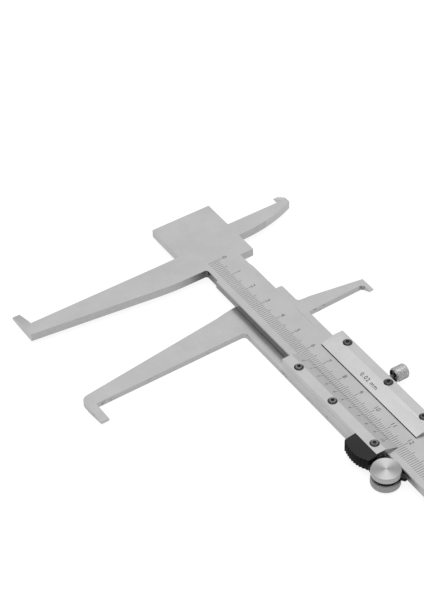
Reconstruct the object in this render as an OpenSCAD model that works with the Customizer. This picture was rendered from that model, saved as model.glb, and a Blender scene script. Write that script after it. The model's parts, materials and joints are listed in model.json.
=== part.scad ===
// Inside-groove vernier caliper: a graduated beam with two fixed jaws, and a slider
// that is a screwed sandwich of a jaw plate, two rails and two bevelled covers.
// The jaws end in outward hooks. X runs along the beam, the jaws point along Y, and
// the graduated face looks along +Z. The origin is on the back of the head, under the
// scale's zero line and on the beam's centre line.

/* [Beam and head] */
// Distance from the zero line to the beam's far end
beam_l = 278; // [270:1:330]
// Width of the beam
beam_w = 16.9; // [16:0.1:17.4]
// Thickness of the beam, the head and the fixed jaws
beam_t = 3.5; // [3.4:0.1:4]
// Distance from the zero line to the head's outer end
head_l = 29.4; // [26:0.1:34]
// Height of the head above the centre line
head_top = 13.85; // [12:0.05:15]
// Depth of the head below the centre line
head_low = 12.5; // [11:0.05:14]

/* [Fixed jaws] */
// Distance from the centre line to the tip of the long fixed jaw
long_tip = 81.7; // [75:0.1:90]
// Distance from the centre line to the tip of the short fixed jaw
short_tip = 41.65; // [38:0.05:46]
// Straight measuring side of the long fixed jaw
long_side_x = -10; // [-11:0.1:-9]
// Straight measuring side of the short fixed jaw
short_side_x = -15.6; // [-17:0.1:-14]
// Reach of the long hook beyond the jaw's side
long_hook = 9; // [6:0.1:10]
// Reach of the short hook beyond the jaw's side
short_hook = 5.75; // [4:0.05:7]

/* [Slider] */
// Reading that the slider stands at, from the zero line to the vernier's zero
reading = 65.7; // [64:0.1:68]
// Length of the rails and covers
slider_l = 58.5; // [57:0.1:60]
// Height of the slider above the centre line
slider_top = 14.25; // [14:0.05:15]
// Depth of the slider below the centre line
slider_low = 12.95; // [12.5:0.05:13.5]
// Thickness of the covers
cover_t = 2.05; // [1.9:0.05:2.4]
// Thickness of the sliding jaw plate
plate_t = 2.4; // [2:0.1:3]
// Running clearance between the slider and the beam
slip = 0.05; // [0.03:0.01:0.08]
// Thickness of the gib strip
gib_t = 0.7; // [0.5:0.1:0.9]

/* [Screws] */
// Shank diameter of the cover screws
screw_d = 2; // [1.6:0.1:2.2]
// Head diameter of the cover screws
screw_head_d = 3.4; // [3:0.1:3.6]
// Shank diameter of the lock screw
lock_d = 2.5; // [2:0.1:2.6]
// Head diameter of the lock screw
lock_head_d = 5.8; // [5:0.1:7]
// Head length of the lock screw
lock_head_l = 5.5; // [4:0.1:7]

/* [Thumb roller] */
// Radius of the roller's discs
roller_r = 5.55; // [5.5:0.05:5.6]
// Thickness of the upper disc
upper_disc_t = 2.35; // [1.5:0.05:2.5]
// Thickness of the lower disc
lower_disc_t = 2.8; // [1.5:0.05:3]
// Radius of the roller's axle
axle_r = 1.5; // [1:0.1:1.8]
// Thickness of the arm that holds the axle
arm_t = 1.4; // [1.2:0.1:1.4]

/* [Hidden] */
$fn = 48;
eps = 0.01;

// Beam and head
neck_end = 10;
neck_top = beam_w / 2 - 0.6;
neck_ramp = 1.6;
neck_low = beam_w / 2 - 0.8;
beam_recess = 0.1;
edge_bevel = 0.3;
jaw_root_x = 2.4;
jaw_root_r = 1;

// Fixed long jaw: its outer side is straight, then bends in and tapers to the tip
long_bend_y = -17.5;
long_bend_r = 95;
long_taper = 6.7;
hook_h = 3;
long_ramp = 8;
long_hook_t = 1;

// Fixed short jaw: its outer side is one long arc
short_side_y = 17.5;
short_root_x = -7.8;
short_lean = 2;
short_arc_r = 65;
short_hook_h = 2.3;
short_hook_t = 0.4;

// Slider layers
slider_x = reading - 4.5;
slider_end = slider_x + slider_l;
plate_z = -slip - plate_t;
rail_h = beam_t + 2 * slip;
cover_z = beam_t + slip;
cover_top = cover_z + cover_t;
upper_lip_t = 0.35;
vernier_lip_t = 0.15;
upper_lip_y = 4.55;
upper_crest_y = 10.45;
vernier_lip_y = 3.55;
vernier_crest_y = 8.75;
upper_rail_y = beam_w / 2 + 2 * slip + gib_t;
lower_rail_y = beam_w / 2 + slip;

// Sliding jaw plate, measured from the vernier's zero
plate_left = reading - 42.95;
plate_top = 13.3;
plate_corner_r = 0.9;
moving_long_x = reading - 28.2;
moving_short_x = reading - 25.8;
moving_long_end = reading + long_side_x - long_hook;
moving_short_end = reading + short_side_x - short_hook;
moving_long_tip = 82.15;
moving_short_tip = 40.95;
moving_hook_t = 1;
moving_short_hook_t = 0.6;

// Screws
upper_screw_x = [reading + 1.9, reading + 27.3, reading + 48.6];
lower_screw_x = [reading + 2.5, reading + 23.7, reading + 49.3];
upper_screw_y = 11.95;
lower_screw_y = -10.35;
head_h = 1.1;
head_sunk = 0.6;
hole_slack = 0.1;
socket_r = 0.75;
socket_h = 0.6;
pin_r = 0.75;
pin_x = [reading + 10, reading + 38];
gib_screw_x = [reading + 6, reading + 43];
gib_screw_r = 1;
gib_l = 51;
slot_w = 0.4;
slot_h = 0.5;

// Lock screw: it turns in the upper rail and pushes a pad on the gib
lock_x = reading + 22.6;
lock_z = 1.8;
lock_head_y = 17.85;
lock_bevel = 0.5;
lock_neck_r = 0.8;
lock_neck_y = slider_top + 0.2;
pad_gap = 0.25;
pad_l = 0.9;
pad_slack = 0.02;

// Thumb grip and roller
roller_x = reading + 61.2;
roller_y = -beam_w / 2 - slip - roller_r;
arm_z = 1.2;
arm_top = arm_z + arm_t;
disc_gap = 0.15;
disc_bevel = 0.3;
disc_web = 0.8;
grip_x = reading + 41.3;
grip_l = 13.3;
grip_edge_y = -17.5;
grip_belly = 1.1;
grip_h = cover_top;
grip_top_in = cover_top - 0.15;
grip_top_out = cover_top - 1;
rib_count = 10;
rib_depth = 0.35;
arm_r = 4.8;
arm_end = reading + 67;
arm_top_y = -9.1;
arm_end_w = 0.9;
tongue_x = grip_x + 0.6;
tongue_y = -9.3;
spring_t = 0.25;
spring_l = 7;
spring_h = 1.2;
grip_screw_x = grip_x + 3.2;

// Stop screw at the beam's end
stop_x = beam_l - 6;
stop_head_r = 2.5;
stop_head_h = 1.2;

steel = "silver";
bright_steel = "gainsboro";
black = "#1c1c1e";
brass = "#b08d4a";

// Points of an arc about c, from angle a to angle b
function arc(c, r, a, b, n = 8) =
    [for (i = [0:n]) c + r * [cos(a + (b - a) * i / n), sin(a + (b - a) * i / n)]];

// A fillet of radius r between a horizontal edge at y and a vertical edge at x
function fillet(x, y, r, sx, sy, a, b) = arc([x + sx * r, y + sy * r], r, a, b, 6);

// The fixed short jaw's outer side as one arc that leans over as it rises
function short_side() = let (c = [short_root_x - short_arc_r * cos(short_lean),
        short_side_y - short_arc_r * sin(short_lean)],
        top = asin((short_tip - c[1]) / short_arc_r))
    arc(c, short_arc_r, short_lean, top, 10);

// The fixed long jaw's outer side: the bend that starts the taper
function long_bend() = arc([jaw_root_x - long_bend_r, long_bend_y], long_bend_r, 0,
    -long_taper, 6);

// Where the tapered side reaches a depth y
function long_taper_x(y) = let (p = long_bend()[6])
    p[0] - (p[1] - y) * tan(long_taper);

module head_outline() {
    polygon(concat(
        [[-head_l, -head_low]],
        [[-head_l, head_top]],
        fillet(short_side_x, head_top, 0.5, -1, 1, -90, 0),
        [[short_side_x, short_tip - short_hook_h]],
        [[short_side_x - short_hook, short_tip - short_hook_h]],
        arc([short_side_x - short_hook + 0.8, short_tip - 0.8], 0.8, 180, 90, 5),
        [for (i = [10:-1:0]) short_side()[i]],
        [[short_root_x + 0.1, head_top]],
        [[2.2, head_top]],
        [[2.2, neck_top]],
        [[neck_end - neck_ramp, neck_top]],
        [[neck_end, beam_w / 2 - edge_bevel]],
        [[neck_end, -neck_low]],
        fillet(jaw_root_x, -neck_low, jaw_root_r, 1, -1, 90, 180),
        long_bend(),
        [[long_taper_x(-long_tip), -long_tip]],
        [[long_side_x - long_hook, -long_tip]],
        [[long_side_x - long_hook, hook_h - long_tip]],
        [[long_side_x, hook_h - long_tip]],
        fillet(long_side_x, -head_low, 0.4, -1, -1, 0, 90)));
}

// Cut that thins a fixed hook from above, from full thickness at x0 to t at x1
module top_ramp(x0, x1, y0, y1, t) {
    slope = (beam_t - t) / (x0 - x1);
    beyond = 1;
    translate([0, y1, 0])
        rotate([90, 0, 0])
            linear_extrude(y1 - y0)
                polygon([[x0, beam_t], [x1 - beyond, t - beyond * slope],
                    [x1 - beyond, beam_t + beyond], [x0, beam_t + beyond]]);
}

module bar_profile() {
    y = beam_w / 2;
    polygon([[-y + edge_bevel, beam_recess], [y - edge_bevel, beam_recess],
        [y, beam_recess + edge_bevel], [y, beam_t - edge_bevel],
        [y - edge_bevel, beam_t], [-y + edge_bevel, beam_t],
        [-y, beam_t - edge_bevel], [-y, beam_recess + edge_bevel]]);
}

// Lays a Y-Z profile along X
module along_x(x, l) {
    translate([x, 0, 0])
        rotate([90, 0, 90])
            linear_extrude(l)
                children();
}

module main_beam() {
    color(steel)
    difference() {
        union() {
            linear_extrude(beam_t)
                head_outline();
            along_x(neck_end, beam_l - neck_end)
                bar_profile();
        }
        // The beam's back is relieved a little from the head's back
        translate([jaw_root_x, -neck_low - eps, -1])
            cube([neck_end - jaw_root_x + eps, neck_low + beam_w / 2, 1 + beam_recess]);
        top_ramp(long_side_x - long_hook + long_ramp, long_side_x - long_hook,
            -long_tip - 1, hook_h - long_tip + 1, long_hook_t);
        top_ramp(short_side_x - 0.6, short_side_x - short_hook,
            short_tip - short_hook_h - 1, short_tip + 1, short_hook_t);
        translate([stop_x, 0, -1])
            cylinder(r = screw_d / 2, h = beam_t + 2);
    }
}

module stop_screw() {
    color(black)
    difference() {
        union() {
            translate([stop_x, 0, beam_recess - stop_head_h])
                cylinder(r = stop_head_r, h = stop_head_h);
            translate([stop_x, 0, 0])
                cylinder(r = screw_d / 2, h = beam_t - 0.2);
        }
        translate([stop_x - stop_head_r - 1, -slot_w, beam_recess - stop_head_h - 1])
            cube([2 * stop_head_r + 2, 2 * slot_w, 1 + slot_h]);
    }
}

// The sliding jaws and the plate that carries them, in outline
module jaw_plate_outline() {
    long_root_y = -slider_low;
    polygon(concat(
        arc([plate_left + plate_corner_r, plate_top - plate_corner_r], plate_corner_r,
            90, 180, 5),
        [[plate_left, -8]],
        [[plate_left + 0.65, -13]],
        [[plate_left + 1.6, -18]],
        [[plate_left + 8.95, 3 - moving_long_tip]],
        arc([plate_left + 12, 3 - moving_long_tip], 3, 187, 270, 8),
        [[moving_long_end - 0.4, -moving_long_tip]],
        arc([moving_long_end - 0.4, 0.4 - moving_long_tip], 0.4, 270, 360, 3),
        [[moving_long_end, hook_h + 0.4 - moving_long_tip]],
        fillet(moving_long_x, hook_h + 0.4 - moving_long_tip, 0.8, 1, 1, 270, 180),
        [[moving_long_x - 0.8, long_root_y - 4]],
        fillet(moving_long_x - 0.8, long_root_y, 1.5, 1, -1, 180, 90),
        [[slider_end, -slider_low]],
        [[slider_end, plate_top]],
        fillet(moving_short_x + 0.85, plate_top, 0.5, 1, 1, 270, 180),
        [[moving_short_x, moving_short_tip - 3]],
        fillet(moving_short_x, moving_short_tip - 1.95, 1, 1, -1, 180, 90),
        [[moving_short_end, moving_short_tip - 1.95]],
        [[moving_short_end, moving_short_tip]],
        [[plate_left + 14.5, moving_short_tip]],
        [[plate_left + 10.9, 18.5]],
        fillet(plate_left + 10.7, plate_top, 1.5, -1, 1, 0, -90)));
}

// Cut that thins a sliding hook from behind, from full thickness at x0 to t at x1
module back_ramp(x0, x1, y0, y1, t) {
    slope = (plate_t - t) / (x1 - x0);
    beyond = 1;
    translate([0, y1, 0])
        rotate([90, 0, 0])
            linear_extrude(y1 - y0)
                polygon([[x0, plate_z], [x1 + beyond, -slip - t + beyond * slope],
                    [x1 + beyond, plate_z - beyond], [x0, plate_z - beyond]]);
}

// Upright holes at each x of a list
module holes(xs, y, r, z, h) {
    for (x = xs)
        translate([x, y, z])
            cylinder(r = r, h = h);
}

module back_jaw_plate() {
    color(steel)
    difference() {
        translate([0, 0, plate_z])
            linear_extrude(plate_t)
                jaw_plate_outline();
        back_ramp(moving_long_x + 1, moving_long_end, -moving_long_tip - 1,
            hook_h + 1 - moving_long_tip, moving_hook_t);
        back_ramp(moving_short_x + 0.3, moving_short_end, moving_short_tip - 3,
            moving_short_tip + 1, moving_short_hook_t);
        holes(upper_screw_x, upper_screw_y, screw_d / 2, plate_z - 1, plate_t + 2);
        holes(lower_screw_x, lower_screw_y, screw_d / 2, plate_z - 1, plate_t + 2);
        holes(pin_x, upper_screw_y, pin_r, plate_z - 1, plate_t + 2);
        holes(pin_x, lower_screw_y, pin_r, plate_z - 1, plate_t + 2);
        holes([grip_screw_x], lower_screw_y, screw_d / 2, plate_z - 1, plate_t + 2);
        translate([grip_screw_x, lower_screw_y, plate_z - eps])
            cylinder(r1 = screw_head_d / 2 + hole_slack, r2 = screw_d / 2, h = head_h);
    }
}

// Holes across the upper rail, along Y
module cross_hole(x, r) {
    translate([x, upper_rail_y - 1, lock_z])
        rotate([-90, 0, 0])
            cylinder(r = r, h = slider_top - upper_rail_y + 2);
}

module upper_rail() {
    color(steel)
    difference() {
        translate([slider_x, upper_rail_y, -slip])
            cube([slider_l, slider_top - upper_rail_y, rail_h]);
        holes(upper_screw_x, upper_screw_y, screw_d / 2 + hole_slack, -1, rail_h + 2);
        holes(pin_x, upper_screw_y, pin_r, -1, rail_h + 2);
        cross_hole(lock_x, lock_d / 2 + slip);
        for (x = gib_screw_x)
            cross_hole(x, gib_screw_r);
    }
}

module lower_rail() {
    color(steel)
    difference() {
        translate([slider_x, -slider_low, -slip])
            cube([slider_l, slider_low - lower_rail_y, rail_h]);
        holes(lower_screw_x, lower_screw_y, screw_d / 2 + hole_slack, -1, rail_h + 2);
        holes(pin_x, lower_screw_y, pin_r, -1, rail_h + 2);
        holes([grip_screw_x], lower_screw_y, screw_d / 2 + hole_slack, -1, 1 + arm_z);
        // Pocket for the thumb grip's tongue
        translate([tongue_x - slip, -slider_low - 1, arm_z - slip])
            cube([slider_l, tongue_y + slider_low + 1 + slip, arm_t + 2 * slip]);
    }
}

// A cover: thin at its inner lip, bevelled up to a crest, then flat
module cover_plate(lip_y, lip_t, crest_y, outer_y, xs, screw_y) {
    difference() {
        along_x(slider_x, slider_l)
            polygon([[lip_y, cover_z], [lip_y, cover_z + lip_t], [crest_y, cover_top],
                [outer_y, cover_top], [outer_y, cover_z]]);
        holes(xs, screw_y, screw_d / 2 + hole_slack, cover_z - 1, cover_t + 2);
        holes(xs, screw_y, screw_head_d / 2 + hole_slack, cover_top - head_sunk, 1);
    }
}

module upper_cover() {
    color(bright_steel)
    cover_plate(upper_lip_y, upper_lip_t, upper_crest_y, slider_top, upper_screw_x,
        upper_screw_y);
}

module vernier_plate() {
    color(bright_steel)
    cover_plate(-vernier_lip_y, vernier_lip_t, -vernier_crest_y, -slider_low,
        lower_screw_x, lower_screw_y);
}

// Sandwich screws: round heads with a socket, threaded into the jaw plate
module sandwich_screws(xs, y) {
    seat = cover_top - head_sunk;
    for (x = xs)
        translate([x, y, 0])
            difference() {
                union() {
                    translate([0, 0, plate_z + 0.15])
                        cylinder(r = screw_d / 2, h = seat - plate_z);
                    translate([0, 0, seat])
                        cylinder(r = screw_head_d / 2, h = head_h - 0.35);
                    translate([0, 0, seat + head_h - 0.35])
                        cylinder(r1 = screw_head_d / 2, r2 = screw_head_d / 2 - 0.45,
                            h = 0.35);
                }
                translate([0, 0, seat + head_h - socket_h])
                    cylinder(r = socket_r, h = socket_h + 1, $fn = 6);
            }
}

module cover_screws() {
    color(black)
    sandwich_screws(upper_screw_x, upper_screw_y);
}

module vernier_screws() {
    color(black)
    sandwich_screws(lower_screw_x, lower_screw_y);
}

module locating_pins() {
    color(bright_steel)
    for (y = [upper_screw_y, lower_screw_y])
        holes(pin_x, y, pin_r, plate_z, plate_t + rail_h);
}

module gib_strip() {
    color(brass)
    translate([slider_x + (slider_l - gib_l) / 2, beam_w / 2 + slip, 0.2])
        cube([gib_l, gib_t, beam_t - 0.4]);
}

module gib_screws() {
    tip_y = beam_w / 2 + slip + gib_t;
    color(black)
    for (x = gib_screw_x)
        translate([x, tip_y, lock_z])
            rotate([-90, 0, 0])
                difference() {
                    cylinder(r = gib_screw_r, h = slider_top - tip_y - 0.3);
                    translate([-2, -slot_w / 2, slider_top - tip_y - 0.3 - slot_h])
                        cube([4, slot_w, 1]);
                }
}

module lock_pad() {
    color(brass)
    translate([lock_x, beam_w / 2 + slip + gib_t + pad_gap, lock_z])
        rotate([-90, 0, 0])
            cylinder(r = lock_d / 2, h = pad_l);
}

module lock_screw() {
    tip_y = beam_w / 2 + slip + gib_t + pad_gap + pad_l + pad_slack;
    r = lock_head_d / 2;
    color(steel)
    translate([lock_x, 0, lock_z])
        rotate([-90, 0, 0])
            union() {
                translate([0, 0, tip_y])
                    cylinder(r = lock_d / 2, h = lock_neck_y - tip_y);
                translate([0, 0, tip_y])
                    cylinder(r = lock_neck_r, h = lock_head_y - tip_y + 1);
                translate([0, 0, lock_head_y])
                    cylinder(r1 = r - lock_bevel, r2 = r, h = lock_bevel);
                translate([0, 0, lock_head_y + lock_bevel])
                    cylinder(r = r, h = lock_head_l - 2 * lock_bevel);
                translate([0, 0, lock_head_y + lock_head_l - lock_bevel])
                    cylinder(r1 = r, r2 = r - lock_bevel, h = lock_bevel);
            }
}

// Outer edge of the grip at x: a shallow belly that falls away past its middle
function grip_edge(x) = let (u = (x - grip_x) / grip_l)
    grip_edge_y - grip_belly * sin(180 * min(1, u * 1.05))
        + (u > 0.6 ? 6 * pow(u - 0.6, 2) : 0);

// The grip's plan: ribs along its outer edge, straight along the slider
module grip_outline() {
    steps = 6 * rib_count;
    polygon(concat(
        [[grip_x, -slider_low]],
        [for (i = [0:steps]) let (x = grip_x + grip_l * i / steps)
            [x, grip_edge(x) + rib_depth * abs(sin(180 * i * rib_count / steps)) * -1]],
        [[grip_x + grip_l, -slider_low]]));
}

module arm_outline() {
    union() {
        translate([roller_x, roller_y])
            circle(r = arm_r);
        polygon([[slider_end + 0.2, arm_top_y], [arm_end, arm_top_y],
            [arm_end, arm_top_y - arm_end_w], [roller_x + 3, roller_y + 2.2],
            [roller_x, roller_y],
            [roller_x, roller_y - arm_r], [grip_x + grip_l - 4, -slider_low - 3],
            [slider_end + 0.2, -slider_low]]);
        translate([tongue_x, -slider_low - 2])
            square([slider_end + 1 - tongue_x, tongue_y + slider_low + 2]);
    }
}

module thumb_grip() {
    color(black)
    difference() {
        union() {
            linear_extrude(grip_h)
                grip_outline();
            translate([0, 0, arm_z])
                linear_extrude(arm_t)
                    arm_outline();
        }
        // The top falls away towards the ribs
        along_x(grip_x - 1, grip_l + 2)
            polygon([[-slider_low + 1, grip_top_in], [-slider_low, grip_top_in],
                [-slider_low - 6, grip_top_out], [-slider_low - 8, grip_top_out],
                [-slider_low - 8, grip_h + 1], [-slider_low + 1, grip_h + 1]]);
        translate([roller_x, roller_y, -1])
            cylinder(r = axle_r + slip, h = beam_t + 2);
        translate([roller_x - spring_l / 2 - 0.1, roller_y - axle_r - 2 * slip - spring_t, 0])
            cube([spring_l + 0.2, spring_t + 2 * slip, beam_t]);
        holes([lower_screw_x[2]], lower_screw_y, screw_d / 2 + hole_slack, 0, beam_t);
        holes([grip_screw_x], lower_screw_y, screw_d / 2, 0, beam_t);
        // Room for the discs to turn below and above the arm
        translate([roller_x, roller_y, -1])
            cylinder(r = roller_r + 0.3, h = arm_z + 1);
        translate([roller_x, roller_y, arm_top])
            cylinder(r = roller_r + 0.3, h = grip_h);
    }
}

module grip_screw() {
    color(black)
    translate([grip_screw_x, lower_screw_y, 0])
        difference() {
            union() {
                translate([0, 0, plate_z + 0.05])
                    cylinder(r1 = screw_head_d / 2, r2 = screw_d / 2, h = head_h - 0.05);
                translate([0, 0, plate_z + 0.5])
                    cylinder(r = screw_d / 2, h = arm_top - 0.1 - plate_z - 0.5);
            }
            translate([-2, -slot_w / 2, plate_z - 1])
                cube([4, slot_w, 1 + slot_h]);
        }
}

// A roller disc, bevelled at both rims, with its bore up to a height
module roller_disc(z, t, bore_h) {
    translate([roller_x, roller_y, z])
        difference() {
            union() {
                cylinder(r1 = roller_r - disc_bevel, r2 = roller_r, h = disc_bevel);
                translate([0, 0, disc_bevel])
                    cylinder(r = roller_r, h = t - 2 * disc_bevel);
                translate([0, 0, t - disc_bevel])
                    cylinder(r1 = roller_r, r2 = roller_r - disc_bevel, h = disc_bevel);
            }
            translate([0, 0, -1])
                cylinder(r = axle_r, h = bore_h + 1);
        }
}

// The upper disc is solid on top
module roller_upper_disc() {
    color(steel)
    roller_disc(arm_top + disc_gap, upper_disc_t, upper_disc_t - disc_web);
}

module roller_lower_disc() {
    color(steel)
    roller_disc(arm_z - disc_gap - lower_disc_t, lower_disc_t, lower_disc_t + 1);
}

module roller_axle() {
    foot_z = arm_z - disc_gap - lower_disc_t + 0.1;
    color(bright_steel)
    translate([roller_x, roller_y, foot_z])
        cylinder(r = axle_r, h = arm_top + disc_gap + upper_disc_t - disc_web - foot_z);
}

module roller_spring() {
    color(brass)
    translate([roller_x - spring_l / 2, roller_y - axle_r - slip - spring_t,
        arm_z + (arm_t - spring_h) / 2])
        cube([spring_l, spring_t, spring_h]);
}

main_beam();
stop_screw();
back_jaw_plate();
upper_rail();
lower_rail();
upper_cover();
vernier_plate();
cover_screws();
vernier_screws();
locating_pins();
gib_strip();
gib_screws();
lock_pad();
lock_screw();
thumb_grip();
grip_screw();
roller_upper_disc();
roller_lower_disc();
roller_axle();
roller_spring();
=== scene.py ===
"""Inside-groove vernier caliper: its finishes, graduations, knurls and stage.

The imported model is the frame. Each operator makes one piece, or a group of like pieces,
in metres and in the frame's own axes: X runs along the beam and the scale faces +Z.
"""

import json
import math

import bpy
from bpy.props import FloatProperty, FloatVectorProperty, IntProperty, PointerProperty
from bpy.types import Operator, Panel, PropertyGroup
from mathutils import Matrix, Vector

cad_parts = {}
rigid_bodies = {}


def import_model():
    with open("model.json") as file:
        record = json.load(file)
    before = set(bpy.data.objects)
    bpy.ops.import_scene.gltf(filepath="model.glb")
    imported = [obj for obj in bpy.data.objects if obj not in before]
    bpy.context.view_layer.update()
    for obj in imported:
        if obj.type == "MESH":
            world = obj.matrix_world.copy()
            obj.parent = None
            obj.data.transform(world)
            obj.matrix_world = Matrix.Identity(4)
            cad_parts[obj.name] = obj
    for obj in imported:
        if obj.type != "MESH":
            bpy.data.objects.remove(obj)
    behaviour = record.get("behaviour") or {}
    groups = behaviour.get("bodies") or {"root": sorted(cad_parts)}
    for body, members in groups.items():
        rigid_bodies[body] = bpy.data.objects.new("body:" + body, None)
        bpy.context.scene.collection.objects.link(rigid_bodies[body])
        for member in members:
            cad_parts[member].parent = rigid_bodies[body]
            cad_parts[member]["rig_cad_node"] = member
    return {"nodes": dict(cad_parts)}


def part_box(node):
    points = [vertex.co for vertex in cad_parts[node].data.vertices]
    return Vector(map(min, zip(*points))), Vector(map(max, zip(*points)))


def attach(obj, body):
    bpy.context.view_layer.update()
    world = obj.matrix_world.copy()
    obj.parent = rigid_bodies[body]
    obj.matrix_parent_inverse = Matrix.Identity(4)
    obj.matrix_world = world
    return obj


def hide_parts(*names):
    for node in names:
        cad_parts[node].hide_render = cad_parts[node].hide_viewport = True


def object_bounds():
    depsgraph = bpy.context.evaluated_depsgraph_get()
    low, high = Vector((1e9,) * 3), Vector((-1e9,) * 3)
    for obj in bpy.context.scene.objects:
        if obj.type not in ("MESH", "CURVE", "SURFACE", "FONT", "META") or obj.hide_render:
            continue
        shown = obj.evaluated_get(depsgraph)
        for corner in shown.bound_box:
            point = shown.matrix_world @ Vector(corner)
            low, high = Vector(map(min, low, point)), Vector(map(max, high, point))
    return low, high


bl_info = {
    "name": "Inside-Groove Vernier Caliper",
    "version": (1, 0, 0),
    "blender": (4, 5, 0),
    "location": "View3D > Sidebar > Caliper",
    "description": "Graduations, knurls, finishes and stage of an inside-groove caliper",
    "category": "Object",
}

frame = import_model()
CAD_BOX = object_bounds()
MM = 0.001

# Slack: for points that are merged, and for telling where a face or a point lies
MERGE = 1e-6
HAIR = 0.01 * MM

# Angles between faces: shaded as one, merged as flat, and broken as a sharp edge
SMOOTH_ANGLE = math.radians(20)
FLAT_ANGLE = math.radians(0.5)
SHARP_ANGLE = math.radians(50)

# The frame's axes: along the beam, across it and up from the scale
ALONG = Vector((1, 0, 0))
ACROSS = Vector((0, 1, 0))
UP = Vector((0, 0, 1))

# Widths of the broken edges
BODY_BREAK = 0.12 * MM
RAIL_BREAK = 0.04 * MM
COVER_BREAK = 0.05 * MM
SCREW_BREAK = 0.16 * MM
GRIP_BREAK = 0.06 * MM

# Scales of the noise that draws a grain, along each axis
LONG_GRAIN = (60, 1800, 1800)
EVEN_GRAIN = (900, 900, 900)
CLOUDS = (90, 90, 90)

# The range that a noise mostly keeps to, and a ramp's whole range
NOISE_MIDDLE = (0.3, 0.7)
WHOLE = (0.0, 1.0)

# A figure's height in the built-in font, as a part of the font's size
FIGURE_SHARE = 0.73


# ---------------------------------------------------------------- settings


class ScaleSettings(PropertyGroup):
    """The beam's millimetre scale"""

    last_reading: IntProperty(
        name="Last reading", description="Last graduation in millimetres", default=250
    )
    line_width: FloatProperty(
        name="Line width", description="Width of an engraved line", default=0.17 * MM,
        unit="LENGTH", precision=5,
    )
    line_depth: FloatProperty(
        name="Line depth", description="Depth of the engraving", default=0.05 * MM,
        unit="LENGTH", precision=5,
    )
    foot_y: FloatProperty(
        name="Foot of the lines", description="Where every line starts, across the beam",
        default=-5.45 * MM, unit="LENGTH", precision=5,
    )
    unit_line: FloatProperty(
        name="Millimetre line", description="Length of a millimetre line",
        default=4.4 * MM, unit="LENGTH", precision=5,
    )
    five_line: FloatProperty(
        name="Five line", description="Length of the line at each 5 mm",
        default=5.4 * MM, unit="LENGTH", precision=5,
    )
    ten_line: FloatProperty(
        name="Ten line", description="Length of the line at each 10 mm",
        default=6.2 * MM, unit="LENGTH", precision=5,
    )
    figure_height: FloatProperty(
        name="Figure height", description="Height of the centimetre figures",
        default=1.95 * MM, unit="LENGTH", precision=5,
    )
    figure_y: FloatProperty(
        name="Figure foot", description="Where the figures stand, across the beam",
        default=1.0 * MM, unit="LENGTH", precision=5,
    )


class VernierSettings(PropertyGroup):
    """The vernier's 50 divisions in 49 mm, and the lips and bevels of both covers"""

    divisions: IntProperty(
        name="Divisions", description="Divisions of the vernier", default=50
    )
    span: FloatProperty(
        name="Span", description="Length of the vernier's scale", default=49 * MM,
        unit="LENGTH", precision=5,
    )
    zero_inset: FloatProperty(
        name="Zero inset", description="From the plate's end to the vernier's zero",
        default=4.5 * MM, unit="LENGTH", precision=5,
    )
    short_line: FloatProperty(
        name="Short line", description="Length of a plain division",
        default=1.35 * MM, unit="LENGTH", precision=5,
    )
    long_line: FloatProperty(
        name="Long line", description="Length of a numbered division",
        default=2.2 * MM, unit="LENGTH", precision=5,
    )
    figure_height: FloatProperty(
        name="Figure height", description="Height of the vernier's figures",
        default=1.4 * MM, unit="LENGTH", precision=5,
    )
    lower_lip: FloatProperty(
        name="Vernier lip", description="Thickness of the vernier plate's inner lip",
        default=0.15 * MM, unit="LENGTH", precision=5,
    )
    upper_lip: FloatProperty(
        name="Cover lip", description="Thickness of the upper cover's inner lip",
        default=0.35 * MM, unit="LENGTH", precision=5,
    )
    lower_bevel: FloatProperty(
        name="Vernier bevel", description="Width of the vernier plate's bevel",
        default=5.2 * MM, unit="LENGTH", precision=5,
    )
    upper_bevel: FloatProperty(
        name="Cover bevel", description="Width of the upper cover's bevel",
        default=5.9 * MM, unit="LENGTH", precision=5,
    )


class SteelSettings(PropertyGroup):
    """Tones of the metals and of the grip"""

    beam_tone: FloatProperty(
        name="Beam tone", description="Grey of the ground beam", default=0.40, min=0, max=1
    )
    jaw_tone: FloatProperty(
        name="Jaw tone", description="Grey of the sliding jaws", default=0.40, min=0, max=1
    )
    # Painted shade: the grey of the roller's lower disc under the upper one, and at half of it,
    # of the lock screw's inner end, neck and recess
    edge_tone: FloatProperty(
        name="Edge tone", description="Grey of the lower disc; the recess has half of it",
        default=0.25, min=0, max=1,
    )
    rail_tone: FloatProperty(
        name="Rail tone", description="Grey of the rails", default=0.40, min=0, max=1
    )
    cover_tone: FloatProperty(
        name="Cover tone", description="Grey of the covers", default=0.43, min=0, max=1
    )
    knurl_tone: FloatProperty(
        name="Knurl tone", description="Grey of the roller", default=0.36, min=0, max=1
    )
    black: FloatVectorProperty(
        name="Black", description="Colour of the thumb grip", subtype="COLOR", size=3,
        default=(0.007, 0.007, 0.0075), min=0, max=1,
    )
    bronze: FloatVectorProperty(
        name="Bronze", description="Colour of the gib and its pad", subtype="COLOR", size=3,
        default=(0.46, 0.27, 0.10), min=0, max=1,
    )


class KnurlSettings(PropertyGroup):
    """Lock screw and roller"""

    screw_columns: IntProperty(
        name="Screw columns", description="Columns of the lock screw's knurl", default=40
    )
    screw_pitch: FloatProperty(
        name="Screw pitch", description="Distance between the knurl's rings",
        default=0.45 * MM, unit="LENGTH", precision=5,
    )
    knurl_depth: FloatProperty(
        name="Knurl depth", description="Depth of the knurls", default=0.14 * MM,
        unit="LENGTH", precision=5,
    )
    head_length: FloatProperty(
        name="Head length", description="Length of the lock screw's head", default=5.5 * MM,
        unit="LENGTH", precision=5,
    )
    roller_columns: IntProperty(
        name="Roller columns", description="Columns of the roller's knurl", default=96
    )
    rim_bevel: FloatProperty(
        name="Rim bevel", description="Bevel at a disc's rim", default=0.3 * MM,
        unit="LENGTH", precision=5,
    )


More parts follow.
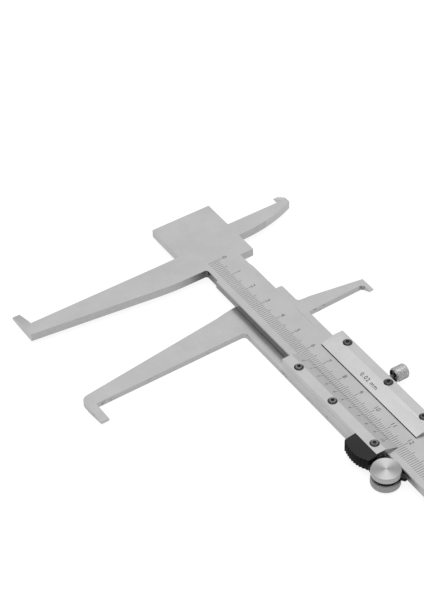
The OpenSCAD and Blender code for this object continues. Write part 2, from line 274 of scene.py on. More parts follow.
class StageSettings(PropertyGroup):
    """Camera, lights and floor"""

    camera_at: FloatVectorProperty(
        name="Camera", description="Where the camera stands", subtype="XYZ", unit="LENGTH",
        size=3, default=(567.29 * MM, -360.33 * MM, 596.29 * MM),
    )
    aim: FloatVectorProperty(
        name="Aim", description="Point at the middle of the view", subtype="XYZ",
        unit="LENGTH", size=3, default=(17.845 * MM, -15.456 * MM, 3.5 * MM),
    )
    roll: FloatProperty(
        name="Roll", description="Roll of the camera", subtype="ANGLE",
        default=math.radians(-1.59),
    )
    lens: FloatProperty(
        name="Lens", description="Focal length of the camera", default=139.1, min=1
    )
    surround: FloatProperty(
        name="Surround", description="Strength of the white surround", default=1.0, min=0
    )
    softbox: FloatProperty(
        name="Softbox", description="Power of the softbox at the side", default=1.5,
        unit="POWER",
    )
    key: FloatProperty(
        name="Key", description="Power of the nearly overhead key", default=3.6, unit="POWER"
    )
    table_glow: FloatProperty(
        name="Table glow", description="Light that the table gives off", default=0.84, min=0
    )


class CaliperSettings(PropertyGroup):
    """All settings of the caliper"""

    scale: PointerProperty(type=ScaleSettings)
    vernier: PointerProperty(type=VernierSettings)
    steel: PointerProperty(type=SteelSettings)
    knurl: PointerProperty(type=KnurlSettings)
    stage: PointerProperty(type=StageSettings)


# ---------------------------------------------------------------- finishes


def grey(tone):
    """A neutral colour of that tone"""
    return (tone, tone, tone, 1)


def link(material, source, source_socket, target, target_socket):
    """Joins two sockets of a material's nodes"""
    material.node_tree.links.new(source.outputs[source_socket], target.inputs[target_socket])


def new_finish(name, colour, metallic, roughness):
    """A named material, its surface shader and its object coordinates"""
    material = bpy.data.materials.new(name)
    material.use_nodes = True
    nodes = material.node_tree.nodes
    surface = nodes["Principled BSDF"]
    surface.inputs["Base Color"].default_value = colour
    surface.inputs["Metallic"].default_value = metallic
    surface.inputs["Roughness"].default_value = roughness
    place = nodes.new("ShaderNodeTexCoord")
    return material, surface, place


def streaks(material, place, scale, detail):
    """Noise on object coordinates, drawn out by its scale along each axis"""
    nodes = material.node_tree.nodes
    stretch = nodes.new("ShaderNodeMapping")
    stretch.inputs["Scale"].default_value = scale
    noise = nodes.new("ShaderNodeTexNoise")
    noise.inputs["Scale"].default_value = 1.0
    noise.inputs["Detail"].default_value = detail
    noise.inputs["Roughness"].default_value = 0.65
    link(material, place, "Object", stretch, "Vector")
    link(material, stretch, "Vector", noise, "Vector")
    return noise


def mapped(material, source, socket, before, after):
    """Maps one range of a value onto another; each range is its two ends"""
    scale = material.node_tree.nodes.new("ShaderNodeMapRange")
    scale.inputs["From Min"].default_value = before[0]
    scale.inputs["From Max"].default_value = before[1]
    scale.inputs["To Min"].default_value = after[0]
    scale.inputs["To Max"].default_value = after[1]
    link(material, source, socket, scale, "Value")
    return scale


def computed(material, operation, source, socket, *numbers):
    """A value put through one operation, with plain numbers as its other terms"""
    node = material.node_tree.nodes.new("ShaderNodeMath")
    node.operation = operation
    link(material, source, socket, node, 0)
    for place, number in enumerate(numbers, 1):
        node.inputs[place].default_value = number
    return node


def added(material, first, second):
    """The sum of two mapped or summed values"""
    node = material.node_tree.nodes.new("ShaderNodeMath")
    node.operation = "ADD"
    material.node_tree.links.new(first.outputs[0], node.inputs[0])
    material.node_tree.links.new(second.outputs[0], node.inputs[1])
    return node


def ranged(material, source, low, high, surface, socket):
    """Maps a noise's middle range onto a socket's range"""
    scale = mapped(material, source, "Fac", NOISE_MIDDLE, (low, high))
    link(material, scale, "Result", surface, socket)


def toned(material, source, dark, light, surface, ends=NOISE_MIDDLE, socket="Fac"):
    """Ramps a value between two colours into a base colour; ends is the value's range"""
    ramp = material.node_tree.nodes.new("ShaderNodeValToRGB")
    for element, position, colour in zip(ramp.color_ramp.elements, ends, (dark, light)):
        element.position = position
        element.color = colour
    link(material, source, socket, ramp, "Fac")
    link(material, ramp, "Color", surface, "Base Color")


def bumped(material, source, depth, surface):
    """Turns a noise into relief of that depth"""
    bump = material.node_tree.nodes.new("ShaderNodeBump")
    bump.inputs["Strength"].default_value = 0.6
    bump.inputs["Distance"].default_value = depth
    link(material, source, "Fac", bump, "Height")
    link(material, bump, "Normal", surface, "Normal")


def ground_steel(name, tone, roughness, grain):
    """Satin steel, ground in straight strokes: grain is the noise scale along each axis"""
    material, surface, place = new_finish(name, grey(tone), 1.0, roughness)
    strokes = streaks(material, place, grain, 4)
    clouds = streaks(material, place, CLOUDS, 3)
    toned(material, clouds, grey(tone * 0.95), grey(tone * 1.04), surface)
    ranged(material, strokes, roughness - 0.06, roughness + 0.06, surface, "Roughness")
    bumped(material, strokes, 0.002 * MM, surface)
    return material


def edge_steel(name, steel):
    """The beam's side walls with painted shade, darkest on the lower wall and in the corner at a
    jaw's root and lighter further out, and a painted reflection that lightens them past 136 mm
    """
    lower_edge = -8.5 * MM
    jaw_root = (3 * MM, -9.5 * MM, 1.7 * MM)
    reflection_x = (136 * MM, 140 * MM)
    material, surface, place = new_finish(name, grey(steel.beam_tone), 1.0, 0.32)
    nodes = material.node_tree.nodes
    # Every part of the total is a share of the way from the dark tone of the painted shade to the
    # lit one
    axes = nodes.new("ShaderNodeSeparateXYZ")
    link(material, place, "Object", axes, "Vector")
    # Painted shade along the lower wall, lighter with distance from it
    shift = computed(material, "ADD", axes, "Y", -lower_edge)
    distance = computed(material, "ABSOLUTE", shift, "Value")
    edge_shade = mapped(material, distance, "Value", (1.5 * MM, 15 * MM), (0.27, 0.70))
    # Painted shade in the corner at the jaw's root
    root = nodes.new("ShaderNodeVectorMath")
    root.operation = "DISTANCE"
    root.inputs[1].default_value = jaw_root
    link(material, place, "Object", root, 0)
    shade = mapped(material, root, "Value", (1.5 * MM, 7 * MM), (-0.3, 0.0))
    # Painted reflection: lighter past 136 mm, as if the wall mirrored the white floor
    far_reflection = mapped(material, axes, "X", reflection_x, (0.0, 0.45))
    total = added(material, far_reflection, added(material, edge_shade, shade))
    patches = streaks(material, place, (500, 500, 500), 4)
    blend = computed(material, "MULTIPLY_ADD", patches, "Fac", 0.3)
    link(material, total, "Value", blend, 2)
    toned(material, blend, grey(0.05), grey(steel.beam_tone * 1.05), surface, WHOLE, "Value")
    bumped(material, patches, 0.003 * MM, surface)
    return material


def spotted_steel(name, tone, spot_tone, spot_scale, spots):
    """Steel with dark spots from a noise: spots is the noise range that ramps to the clean tone
    """
    material, surface, place = new_finish(name, grey(tone), 1.0, 0.32)
    patches = streaks(material, place, (spot_scale, spot_scale, spot_scale), 3)
    toned(material, patches, grey(spot_tone), grey(tone), surface, spots)
    bumped(material, patches, 0.003 * MM, surface)
    return material


def spun_steel(name, tone, centre, highlight_bearing):
    """Spun steel: rings about the disc's centre, and two painted highlight sectors at the given
    angle
    """
    material, surface, place = new_finish(name, grey(tone), 1.0, 0.5)
    surface.inputs["Anisotropic"].default_value = 0.82
    surface.inputs["Anisotropic Rotation"].default_value = 0.25
    tangent = material.node_tree.nodes.new("ShaderNodeTangent")
    tangent.direction_type = "RADIAL"
    tangent.axis = "Z"
    link(material, tangent, "Tangent", surface, "Tangent")
    about_centre = spun_rings(material, surface, place, centre, 900)
    # Painted highlight: two bright sectors, added over the real anisotropic sheen
    sheen_sectors(material, surface, about_centre, highlight_bearing, grey(0.85 * tone),
                  grey(1.35 * tone))
    return material


def spun_rings(material, surface, place, centre, rings):
    """Adds turning marks about a centre, and returns the coordinates about that centre"""
    nodes = material.node_tree.nodes
    about_centre = nodes.new("ShaderNodeMapping")
    about_centre.inputs["Location"].default_value = (-centre.x, -centre.y, 0)
    wave = nodes.new("ShaderNodeTexWave")
    wave.wave_type = "RINGS"
    wave.rings_direction = "Z"
    wave.inputs["Scale"].default_value = rings
    wave.inputs["Distortion"].default_value = 0.6
    wave.inputs["Detail"].default_value = 2
    link(material, place, "Object", about_centre, "Vector")
    link(material, about_centre, "Vector", wave, "Vector")
    bumped(material, wave, 0.001 * MM, surface)
    return about_centre


def sheen_sectors(material, surface, about_centre, highlight_bearing, dark, light):
    """Painted highlight: two opposite bright sectors about the disc's centre, where light would
    catch the fine turning marks
    """
    turn = material.node_tree.nodes.new("ShaderNodeTexGradient")
    turn.gradient_type = "RADIAL"
    link(material, about_centre, "Vector", turn, "Vector")
    angle = computed(material, "MULTIPLY_ADD", turn, "Fac", 2 * math.tau, -2 * highlight_bearing)
    wave = computed(material, "COSINE", angle, "Value")
    spread = mapped(material, wave, "Value", (-1.0, 1.0), WHOLE)
    toned(material, spread, dark, light, surface, WHOLE, "Result")


def black_oxide(name):
    """Blackened screw steel with a soft gloss"""
    material, surface, place = new_finish(name, grey(0.045), 1.0, 0.25)
    grain = streaks(material, place, (2500, 2500, 2500), 3)
    toned(material, grain, grey(0.035), grey(0.06), surface)
    ranged(material, grain, 0.2, 0.32, surface, "Roughness")
    return material


def black_moulding(name, colour, sheen):
    """Black grip material with a fine matt grain; sheen is its specular level"""
    material, surface, place = new_finish(name, (*colour, 1), 0.0, 0.5)
    surface.inputs["Specular IOR Level"].default_value = sheen
    grain = streaks(material, place, (5000, 5000, 5000), 4)
    lighter = tuple(c * 1.8 for c in colour)
    toned(material, grain, (*colour, 1), (*lighter, 1), surface)
    ranged(material, grain, 0.42, 0.6, surface, "Roughness")
    bumped(material, grain, 0.01 * MM, surface)
    return material


def engraving_ink(name):
    """Dark filling of the engraved lines and figures, and painted shadow on the cover's lip"""
    material, surface, place = new_finish(name, grey(0.05), 0.0, 0.7)
    surface.inputs["Specular IOR Level"].default_value = 0.2
    patches = streaks(material, place, EVEN_GRAIN, 3)
    toned(material, patches, grey(0.035), grey(0.09), surface)
    return material


def drawn_bronze(name, colour, roughness):
    """Bronze strip, drawn along its length"""
    material, surface, place = new_finish(name, (*colour, 1), 1.0, roughness)
    strokes = streaks(material, place, (60, 2500, 2500), 3)
    darker = tuple(c * 0.8 for c in colour)
    toned(material, strokes, (*darker, 1), (*colour, 1), surface)
    ranged(material, strokes, roughness - 0.08, roughness + 0.08, surface, "Roughness")
    return material


# ---------------------------------------------------------------- bench tools


def pick(*objects):
    """Selects only these objects; the first is the active one"""
    bpy.ops.object.select_all(action="DESELECT")
    for item in objects:
        item.select_set(True)
    bpy.context.view_layer.objects.active = objects[0]


def edit(piece):
    """Opens a piece for editing by its points, with nothing selected"""
    pick(piece)
    bpy.ops.object.mode_set(mode="EDIT")
    bpy.ops.mesh.select_mode(type="VERT")
    bpy.ops.mesh.select_all(action="DESELECT")


def clean(piece):
    """Merges what touches and turns the faces outwards"""
    edit(piece)
    bpy.ops.mesh.select_all(action="SELECT")
    bpy.ops.mesh.remove_doubles(threshold=MERGE)
    bpy.ops.mesh.normals_make_consistent(inside=False)
    bpy.ops.object.mode_set(mode="OBJECT")


def smooth(piece, angle=SMOOTH_ANGLE):
    """Shades curved stretches smooth and keeps the machined edges"""
    pick(piece)
    bpy.ops.object.shade_smooth_by_angle(angle=angle)


def bevel_edges(piece, width, segments):
    """Breaks the sharp edges of a machined piece"""
    pick(piece)
    modifier = piece.modifiers.new("broken_edges", "BEVEL")
    modifier.width = width
    modifier.segments = segments
    modifier.limit_method = "ANGLE"
    modifier.angle_limit = SHARP_ANGLE
    modifier.miter_outer = "MITER_ARC"
    bpy.ops.object.modifier_apply(modifier=modifier.name)


def machined_copy(node, name, width, segments=1):
    """A merged copy of a CAD node with its edges broken, free of the node's own tags"""
    pick(frame["nodes"][node])
    bpy.ops.object.duplicate()
    piece = bpy.context.view_layer.objects.active
    piece.name = name
    piece.parent = None
    del piece["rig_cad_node"]
    piece.data.materials.clear()
    bpy.ops.mesh.customdata_custom_splitnormals_clear()
    clean(piece)
    edit(piece)
    bpy.ops.mesh.select_all(action="SELECT")
    bpy.ops.mesh.dissolve_limited(angle_limit=FLAT_ANGLE)
    bpy.ops.object.mode_set(mode="OBJECT")
    bevel_edges(piece, width, segments)
    return piece


def settle(piece, body, slot, *nodes):
    """Hides the nodes that a finished piece stands for and hands the piece to its body; slot is
    not used
    """
    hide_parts(*nodes)
    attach(piece, body)


def lines_block(name, lines, width, depth):
    """Closed bars for engraving: each line is its x, its foot and its length"""
    # The first bar is opened for editing, so the bars after it are added to it
    bpy.ops.object.select_all(action="DESELECT")
    for i, (x, foot, length) in enumerate(lines):
        middle = (x, foot + length / 2, 0)
        size = (width, length, 2 * depth)
        bpy.ops.mesh.primitive_cube_add(size=1, location=middle, scale=size)
        if i == 0:
            block = bpy.context.object
            block.name = name
            bpy.ops.object.transform_apply(location=True, rotation=True, scale=True)
            bpy.ops.object.mode_set(mode="EDIT")
    bpy.ops.object.mode_set(mode="OBJECT")
    return block


def figure_block(text, height, x, foot, depth, spacing=1.0, weight=0.0):
    """Closed figures for engraving, centred on x and standing on foot"""
    bpy.ops.object.text_add(location=(x, foot, 0))
    figure = bpy.context.object
    figure.data.body = text
    figure.data.align_x = "CENTER"
    figure.data.size = height / FIGURE_SHARE
    figure.data.space_character = spacing
    figure.data.extrude = depth
    figure.data.offset = weight
    figure.data.resolution_u = 3
    bpy.ops.object.convert(target="MESH")
    bpy.ops.object.transform_apply(location=True, rotation=True, scale=True)
    clean(figure)
    return figure


def joined(first, others):
    """Joins cutters into the first of them"""
    pick(first, *others)
    bpy.ops.object.join()
    return first


def tilt(block, origin, slope):
    """Lays a flat cutter on a face that slopes about X"""
    pick(block)
    block.rotation_euler = (slope, 0, 0)
    block.location = origin
    bpy.ops.object.transform_apply(location=True, rotation=True, scale=True)


def engrave(piece, cutter, ink):
    """Cuts the marks into a piece and leaves ink in them"""
    cutter.data.materials.clear()
    cutter.data.materials.append(ink)
    before = len(piece.data.polygons)
    pick(piece)
    modifier = piece.modifiers.new("engraving", "BOOLEAN")
    modifier.operation = "DIFFERENCE"
    modifier.object = cutter
    modifier.solver = "MANIFOLD"
    modifier.material_mode = "TRANSFER"
    bpy.ops.object.modifier_apply(modifier=modifier.name)
    if len(piece.data.polygons) <= before:
        raise RuntimeError(f"{piece.name}: the engraving did not cut")
    bpy.data.objects.remove(cutter)


def turned(name, profile, centre, axis, across, steps):
    """A lathe piece: profile is (radius, height) points, spun about an axis through centre"""
    bpy.ops.object.select_all(action="DESELECT")
    bpy.ops.mesh.primitive_plane_add(size=MM)
    piece = bpy.context.object
    piece.name = name
    bpy.ops.object.mode_set(mode="EDIT")
    bpy.ops.mesh.select_all(action="SELECT")
    bpy.ops.mesh.merge(type="CENTER")
    points = [centre + across * r + axis * h for r, h in profile]
    bpy.ops.transform.translate(value=points[0])
    for here, there in zip(points, points[1:]):
        step = {"value": there - here}
        bpy.ops.mesh.extrude_region_move(TRANSFORM_OT_translate=step)
    bpy.ops.mesh.select_all(action="SELECT")
    bpy.ops.mesh.spin(steps=steps, angle=math.tau, center=centre, axis=axis)
    bpy.ops.object.mode_set(mode="OBJECT")
    clean(piece)
    return piece


def press_knurl(piece, centre, axis, across, is_low, depth, outer):
    """Presses the points that the test picks in towards the axis, by a depth at the outside"""
    third = axis.cross(across)
    edit(piece)
    bpy.ops.object.mode_set(mode="OBJECT")
    for vertex in piece.data.vertices:
        offset = vertex.co - centre
        angle = math.atan2(offset.dot(third), offset.dot(across)) % math.tau
        radius = math.hypot(offset.dot(third), offset.dot(across))
        vertex.select = is_low(angle, offset.dot(axis), radius)
    bpy.ops.object.mode_set(mode="EDIT")
    factor = 1 - depth / outer
    squeeze = tuple(factor + (1 - factor) * abs(a) for a in axis)
    bpy.ops.transform.resize(value=squeeze, center_override=centre)
    bpy.ops.object.mode_set(mode="OBJECT")


def paint_faces(piece, material, is_painted):
    """Gives a second material to the faces that the test picks"""
    piece.data.materials.append(material)
    index = len(piece.data.materials) - 1
    for face in piece.data.polygons:
        if is_painted(face):
            face.material_index = index


def is_side(face):
    """Whether a face stands upright rather than lies flat"""
    return abs(face.normal.z) < 0.5


def is_top(face):
    """Whether a face looks straight up"""
    return face.normal.z > 0.95


# ---------------------------------------------------------------- pieces


def scale_lines(scale):
    """Every line of the main scale: its x, its foot and its length"""
    lines = []
    for reading in range(scale.last_reading + 1):
        if reading % 10 == 0:
            length = scale.ten_line
        elif reading % 5 == 0:
            length = scale.five_line
        else:
            length = scale.unit_line
        lines.append((reading * MM, scale.foot_y, length))
    return lines


class CALIPER_OT_beam(Operator):
    """Makes the graduated beam with its head and fixed jaws"""

    bl_idname = "caliper.beam"
    bl_label = "Graduated beam"

    def execute(self, context):
        settings = context.scene.caliper
        scale = settings.scale
        beam = machined_copy("main_beam", "graduated_beam", BODY_BREAK)
        beam.data.materials.append(
            ground_steel("beam_ground_steel", settings.steel.beam_tone, 0.3, LONG_GRAIN)
        )
        lines = lines_block("scale_lines", scale_lines(scale), scale.line_width, scale.line_depth)
        figures = [
            figure_block(str(cm), scale.figure_height, 10 * cm * MM, scale.figure_y,
                         scale.line_depth)
            for cm in range(scale.last_reading // 10 + 1)
        ]
        cutter = joined(lines, figures)
        tilt(cutter, (0, 0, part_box("main_beam")[1].z), 0)
        engrave(beam, cutter, engraving_ink("scale_ink"))
        head_x = -9 * MM
        # Painted shade on the beam's side walls, and a painted reflection at its far end
        paint_faces(beam, edge_steel("beam_edge_painted_shade", settings.steel), lambda face:
                    is_side(face) and face.center.x > head_x)
        smooth(beam)
        settle(beam, "beam", "beam_steel", "main_beam")
        return {"FINISHED"}


class CALIPER_OT_jaw_plate(Operator):
    """Makes the sliding jaw plate"""

    bl_idname = "caliper.jaw_plate"
    bl_label = "Sliding jaw plate"

    def execute(self, context):
        tone = context.scene.caliper.steel.jaw_tone
        plate = machined_copy("back_jaw_plate", "sliding_jaw_plate", BODY_BREAK)
        plate.data.materials.append(ground_steel("jaw_ground_steel", tone, 0.3, LONG_GRAIN))
        edge = spotted_steel("jaw_edge_steel", 0.95 * tone, 0.17, 260, (0.31, 0.42))
        paint_faces(plate, edge, is_side)
        smooth(plate)
        settle(plate, "slider", "jaw_plate_steel", "back_jaw_plate")
        return {"FINISHED"}


class CALIPER_OT_rails(Operator):
    """Makes the two rails of the slider"""

    bl_idname = "caliper.rails"
    bl_label = "Rails"

    def execute(self, context):
        tone = context.scene.caliper.steel.rail_tone
        steel = ground_steel("rail_ground_steel", tone, 0.3, LONG_GRAIN)
        for node in ("upper_rail", "lower_rail"):
            rail = machined_copy(node, node + "_ground", RAIL_BREAK)
            rail.data.materials.append(steel)
            smooth(rail)
            settle(rail, "slider", "rail_steel", node)
        return {"FINISHED"}


class CALIPER_OT_covers(Operator):
    """Makes the upper cover and the vernier plate with their engraving"""

    bl_idname = "caliper.covers"
    bl_label = "Covers and vernier"

    def execute(self, context):
        settings = context.scene.caliper
        tone = settings.steel.cover_tone
        steel = ground_steel("cover_ground_steel", tone, 0.32, LONG_GRAIN)
        ink = engraving_ink("vernier_ink")
        self.make_vernier(settings, steel, ink)
        self.make_upper(settings, steel, ink)
        return {"FINISHED"}

    def make_vernier(self, settings, steel, ink):
        """The vernier plate: lines from the lip, figures beyond them on the bevel"""
        vernier = settings.vernier
        depth = settings.scale.line_depth
        overrun = 0.5 * MM
        gap = 0.3 * MM
        foot = -vernier.long_line - gap - vernier.figure_height
        low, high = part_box("vernier_plate")
        plate = machined_copy("vernier_plate", "vernier_scale_plate", COVER_BREAK)
        plate.data.materials.append(steel)
        lines = []
        figures = []
        for i in range(vernier.divisions + 1):
            x = vernier.span * i / vernier.divisions
            length = vernier.long_line if i % 5 == 0 else vernier.short_line
            lines.append((x, -length, length + overrun))
            if i % 5 == 0:
                figures.append(
                    figure_block(str(i // 5), vernier.figure_height, x, foot, depth)
                )
        cutter = joined(
            lines_block("vernier_lines", lines, settings.scale.line_width, depth), figures
        )
        zero = Vector((low.x + vernier.zero_inset, high.y, low.z + vernier.lower_lip))
        rise = high.z - low.z - vernier.lower_lip
        tilt(cutter, zero, -math.atan2(rise, vernier.lower_bevel))
        engrave(plate, cutter, ink)
        smooth(plate)
        settle(plate, "slider", "vernier_steel", "vernier_plate")

    def make_upper(self, settings, steel, ink):
        """The upper cover: the vernier's resolution on its bevel, and painted shadow on its lip
        """
        vernier = settings.vernier
        mark_x = 26.6 * MM
        mark_foot = 1.9 * MM
        mark_height = 1.75 * MM
        low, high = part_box("upper_cover")
        cover = machined_copy("upper_cover", "upper_cover_plate", COVER_BREAK)
        cover.data.materials.append(steel)
        mark = figure_block("0.02 mm", mark_height, 0, mark_foot, settings.scale.line_depth,
                            spacing=1.2, weight=0.03 * MM)
        middle = Vector((low.x + mark_x, low.y, low.z + vernier.upper_lip))
        rise = high.z - low.z - vernier.upper_lip
        tilt(mark, middle, math.atan2(rise, vernier.upper_bevel))
        engrave(cover, mark, ink)
        # Painted shadow on the lip's wall facing the beam
        lip_y = low.y + 0.08 * MM
        paint_faces(cover, engraving_ink("lip_shadow"), lambda face:
                    face.normal.y < -0.3 and face.center.y < lip_y)
        smooth(cover)
        settle(cover, "slider", "cover_steel", "upper_cover")


class CALIPER_OT_screws(Operator):
    """Makes the six black screws that hold the slider together"""

    bl_idname = "caliper.screws"
    bl_label = "Cover screws"

    def execute(self, context):
        oxide = black_oxide("screw_black_oxide")
        head_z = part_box("cover_screws")[1].z - 0.05 * MM
        # The second number is the grey of the head tops, a painted highlight, lighter on the
        # vernier screws
        for node, top_highlight_tone in (("cover_screws", 0.09), ("vernier_screws", 0.17)):
            screws = machined_copy(node, node + "_black", SCREW_BREAK, 3)
            screws.data.materials.append(oxide)
            top_highlight = spotted_steel(node + "_rubbed", top_highlight_tone, 0.04, 1200, (0.36, 0.5))
            paint_faces(screws, top_highlight, lambda face: is_top(face) and face.center.z > head_z)
            smooth(screws, SHARP_ANGLE)
            settle(screws, "slider", "black_screws", node)
        return {"FINISHED"}


class CALIPER_OT_lock_screw(Operator):
    """Turns and knurls the lock screw"""

    bl_idname = "caliper.lock_screw"
    bl_label = "Lock screw"

    def execute(self, context):
        settings = context.scene.caliper
        knurl = settings.knurl
        low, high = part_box("lock_screw")
        radius = (high.x - low.x) / 2
        length = knurl.head_length
        centre = Vector(((low.x + high.x) / 2, high.y - length, (low.z + high.z) / 2))
        edge = 0.5 * MM
        recess = 2.25 * MM
        recess_depth = 0.7 * MM
        rings = round((length - 2 * edge) / knurl.screw_pitch)
        pitch = (length - 2 * edge) / rings
        column = math.tau / knurl.screw_columns
        profile = [
            *self.stem(low.y - centre.y, recess_depth),
            (recess, recess_depth), (recess, 0), (radius - edge, 0),
            *((radius, edge + (length - 2 * edge) * i / rings) for i in range(rings + 1)),
            *self.end(radius - edge, length),
        ]
        screw = turned("lock_screw_knurled", profile, centre, ACROSS, ALONG,
                       knurl.screw_columns)

        def is_low(angle, height, r):
            on_grip = r > radius - HAIR and edge - MERGE < height < length - edge + MERGE
            odd = (round(angle / column) + round((height - edge) / pitch)) % 2 == 1
            return on_grip and odd

        press_knurl(screw, centre, ACROSS, ALONG, is_low, knurl.knurl_depth, radius)
        screw.data.materials.append(
            spotted_steel("lock_screw_steel", 0.46, 0.2, 2400, (0.38, 0.58))
        )
        # Painted shade on the head's inner end, the neck and the recess
        painted_shade = ground_steel("lock_recess_painted_shade", settings.steel.edge_tone / 2, 0.4, EVEN_GRAIN)
        face_y = centre.y + HAIR
        inner = recess_depth + centre.y + HAIR
        paint_faces(screw, painted_shade, lambda face: face.center.y < face_y
                    or face.center.y < inner and self.off_axis(face, centre) < recess)
        smooth(screw)
        settle(screw, "lock", "knurled_steel", "lock_screw")
        return {"FINISHED"}

    def stem(self, tip, recess_depth):
        """The shank and the thinner neck, from the tip up into the head's recess"""
        shank = 1.25 * MM
        neck = 0.8 * MM
        neck_length = 4 * MM
        chamfer = 0.2 * MM
        return [
            (0, tip), (shank - chamfer, tip), (shank, tip + chamfer), (shank, -neck_length),
            (neck, -neck_length), (neck, recess_depth),
        ]

    def end(self, radius, length):
        """The head's end face, with a shallow dish in its middle"""
        dish = 1.3 * MM
        dish_depth = 0.2 * MM
        floor = length - dish_depth
        return [(radius, length), (dish, length), (dish - dish_depth, floor), (0, floor)]

    def off_axis(self, face, centre):
        """Distance of a face's middle from the screw's axis, less a little for its chords"""
        chord = 0.02 * MM
        return math.hypot(face.center.x - centre.x, face.center.z - centre.z) - chord


class CALIPER_OT_thumb_grip(Operator):
    """Makes the ribbed black thumb grip and the arm that holds the roller"""

    bl_idname = "caliper.thumb_grip"
    bl_label = "Thumb grip"

    def execute(self, context):
        grip = machined_copy("thumb_grip", "thumb_grip_ribbed", GRIP_BREAK, 2)
        grip.data.materials.append(
            black_moulding("grip_black", context.scene.caliper.steel.black, 0.2)
        )
        ribs = black_moulding("grip_ribs_black", (0.004, 0.004, 0.004), 0.05)
        low_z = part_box("thumb_grip")[0].z + 0.1 * MM
        paint_faces(grip, ribs, lambda face: is_side(face) and face.center.z > low_z)
        smooth(grip, math.radians(35))
        settle(grip, "slider", "black_grip", "thumb_grip")
        return {"FINISHED"}


class CALIPER_OT_roller(Operator):
    """Turns and knurls the two discs of the thumb roller"""

    bl_idname = "caliper.roller"
    bl_label = "Thumb roller"

    def execute(self, context):
        settings = context.scene.caliper
        tone = settings.steel.knurl_tone
        low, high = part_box("roller_upper_disc")
        # Angle of the two painted highlight sectors on the spun tops
        highlight_bearing = math.radians(-31)
        rim = ground_steel("roller_rim_steel", tone, 0.34, EVEN_GRAIN)
        spun = spun_steel("roller_spun_painted_sheen", tone, (low + high) / 2, highlight_bearing)
        # Painted shade on the lower disc, all but its top, under the upper disc
        painted_shade = ground_steel("roller_lower_painted_shade", settings.steel.edge_tone, 0.34, EVEN_GRAIN)
        self.make_disc(settings, "roller_upper_disc", "upper_roller_disc", True, rim, spun)
        self.make_disc(settings, "roller_lower_disc", "lower_roller_disc", False, painted_shade, spun)
        return {"FINISHED"}

    def make_disc(self, settings, node, name, is_blind, rim, spun):
        """One disc: blind and spun on top, or bored right through"""
        knurl = settings.knurl
        low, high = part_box(node)
        radius = (high.x - low.x) / 2
        thick = high.z - low.z
        bevel = knurl.rim_bevel
        bore = 1.5 * MM
        web = 0.8 * MM
        centre = Vector(((low.x + high.x) / 2, (low.y + high.y) / 2, low.z))
        outside = [
            (radius - bevel, 0), (radius, bevel), (radius, thick - bevel),
            (radius - bevel, thick),
        ]
        if is_blind:
            profile = [(0, thick - web), (bore, thick - web), (bore, 0), *outside, (0, thick)]
        else:
            profile = [(bore, 0), *outside, (bore, thick), (bore, 0)]
        disc = turned(name, profile, centre, UP, ALONG, knurl.roller_columns)
        column = math.tau / knurl.roller_columns

        def is_low(angle, height, r):
            return r > radius - HAIR and round(angle / column) % 2 == 1

        press_knurl(disc, centre, UP, ALONG, is_low, knurl.knurl_depth, radius)
        disc.data.materials.append(rim)
        paint_faces(disc, spun, is_top)
        smooth(disc)
        settle(disc, "roller", "roller_steel", node)


class CALIPER_OT_inner_parts(Operator):
    """Gives their finishes to the small parts that keep their CAD shape"""

    bl_idname = "caliper.inner_parts"
    bl_label = "Small parts"

    def execute(self, context):
        steel = context.scene.caliper.steel
        bright = ground_steel("pin_bright_steel", steel.cover_tone, 0.3, EVEN_GRAIN)
        bronze = drawn_bronze("gib_bronze", steel.bronze, 0.35)
        oxide = black_oxide("small_black_oxide")
        finishes = {
            "locating_pins": bright, "roller_axle": bright, "roller_spring": bright,
            "gib_strip": bronze, "lock_pad": bronze,
            "gib_screws": oxide, "grip_screw": oxide, "stop_screw": oxide,
        }
        for node, finish in finishes.items():
            for slot in frame["nodes"][node].material_slots:
                slot.material = finish
        return {"FINISHED"}


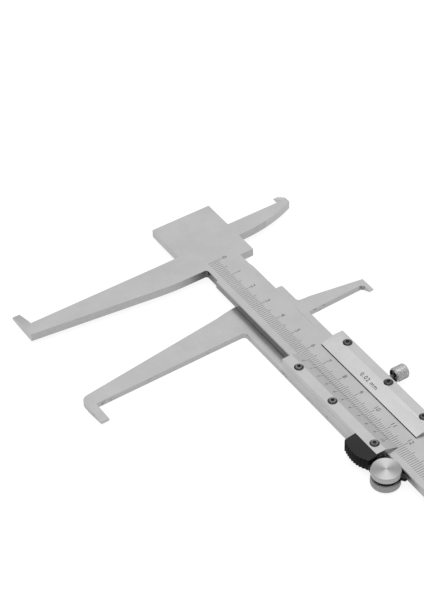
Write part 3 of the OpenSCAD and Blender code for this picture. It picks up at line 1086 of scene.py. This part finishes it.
class CALIPER_OT_stage(Operator):
    """Sets the floor, the lights and the camera"""

    bl_idname = "caliper.stage"
    bl_label = "Stage"

    def execute(self, context):
        stage = context.scene.caliper.stage
        self.lay_floor(stage)
        self.set_lights(context, stage)
        self.set_camera(context, stage)
        context.scene.view_settings.view_transform = "Standard"
        return {"FINISHED"}

    def lay_floor(self, stage):
        """A plain white light table, a hair under the lowest face"""
        table_width = 6
        table_z = CAD_BOX[0].z - 0.02 * MM
        bpy.ops.object.select_all(action="DESELECT")
        bpy.ops.mesh.primitive_plane_add(size=table_width, location=(0, 0, table_z))
        floor = bpy.context.object
        floor.name = "stage_floor"
        material, surface, place = new_finish("stage_white", grey(0.2), 0.0, 0.9)
        surface.inputs["Specular IOR Level"].default_value = 0.0
        surface.inputs["Emission Color"].default_value = grey(1.0)
        surface.inputs["Emission Strength"].default_value = stage.table_glow
        clouds = streaks(material, place, (4, 4, 4), 2)
        toned(material, clouds, grey(0.195), grey(0.205), surface)
        floor.data.materials.append(material)

    def set_lights(self, context, stage):
        """A white surround and two large softboxes, the stronger one nearly overhead"""
        world = bpy.data.worlds.new("white_surround")
        context.scene.world = world
        world.use_nodes = True
        background = world.node_tree.nodes["Background"]
        background.inputs["Color"].default_value = grey(1.0)
        background.inputs["Strength"].default_value = stage.surround
        softbox_at = (-0.42, 0.1, 0.85)
        key_at = (0.15, -0.05, 0.95)
        self.add_softbox("overhead_softbox", softbox_at, 1.3, stage.softbox)
        self.add_softbox("key_softbox", key_at, 1.1, stage.key)

    def add_softbox(self, name, place, size, power):
        """A square area light that faces the caliper"""
        aim = Vector((0.06, 0, 0))
        facing = (aim - Vector(place)).to_track_quat("-Z", "Y").to_euler()
        bpy.ops.object.light_add(type="AREA", location=place, rotation=facing)
        light = bpy.context.object
        light.name = name
        light.data.shape = "SQUARE"
        light.data.size = size
        light.data.energy = power

    def set_camera(self, context, stage):
        """The camera at its place, turned to the aim and rolled"""
        place = Vector(stage.camera_at)
        forward = (Vector(stage.aim) - place).normalized()
        level = forward.cross(UP).normalized()
        upright = level.cross(forward)
        right = level * math.cos(stage.roll) + upright * math.sin(stage.roll)
        up = upright * math.cos(stage.roll) - level * math.sin(stage.roll)
        turn = Matrix((right, up, -forward)).transposed()
        bpy.ops.object.camera_add(location=place, rotation=turn.to_euler())
        camera = bpy.context.object
        camera.data.lens = stage.lens
        camera.data.sensor_width = 36
        camera.data.clip_start = 0.01
        camera.data.clip_end = 20
        context.scene.camera = camera


# ---------------------------------------------------------------- panel and registration


STEPS = (
    CALIPER_OT_beam,
    CALIPER_OT_jaw_plate,
    CALIPER_OT_rails,
    CALIPER_OT_covers,
    CALIPER_OT_screws,
    CALIPER_OT_lock_screw,
    CALIPER_OT_thumb_grip,
    CALIPER_OT_roller,
    CALIPER_OT_inner_parts,
    CALIPER_OT_stage,
)


class CALIPER_PT_sidebar(Panel):
    """Lists the caliper's pieces in the sidebar"""

    bl_idname = "CALIPER_PT_sidebar"
    bl_label = "Vernier Caliper"
    bl_space_type = "VIEW_3D"
    bl_region_type = "UI"
    bl_category = "Caliper"

    def draw(self, context):
        for step in STEPS:
            self.layout.operator(step.bl_idname)


SETTINGS = (
    ScaleSettings,
    VernierSettings,
    SteelSettings,
    KnurlSettings,
    StageSettings,
    CaliperSettings,
)


def register():
    """Adds the settings, the operators and the panel"""
    for group in (*SETTINGS, *STEPS, CALIPER_PT_sidebar):
        bpy.utils.register_class(group)
    bpy.types.Scene.caliper = PointerProperty(type=CaliperSettings)


def unregister():
    """Removes them again"""
    del bpy.types.Scene.caliper
    for group in reversed((*SETTINGS, *STEPS, CALIPER_PT_sidebar)):
        bpy.utils.unregister_class(group)


def main():
    """Makes every piece in order"""
    register()
    bpy.ops.caliper.stage()
    bpy.ops.caliper.beam()
    bpy.ops.caliper.jaw_plate()
    bpy.ops.caliper.rails()
    bpy.ops.caliper.covers()
    bpy.ops.caliper.screws()
    bpy.ops.caliper.lock_screw()
    bpy.ops.caliper.thumb_grip()
    bpy.ops.caliper.roller()
    bpy.ops.caliper.inner_parts()


if __name__ == "__main__":
    main()
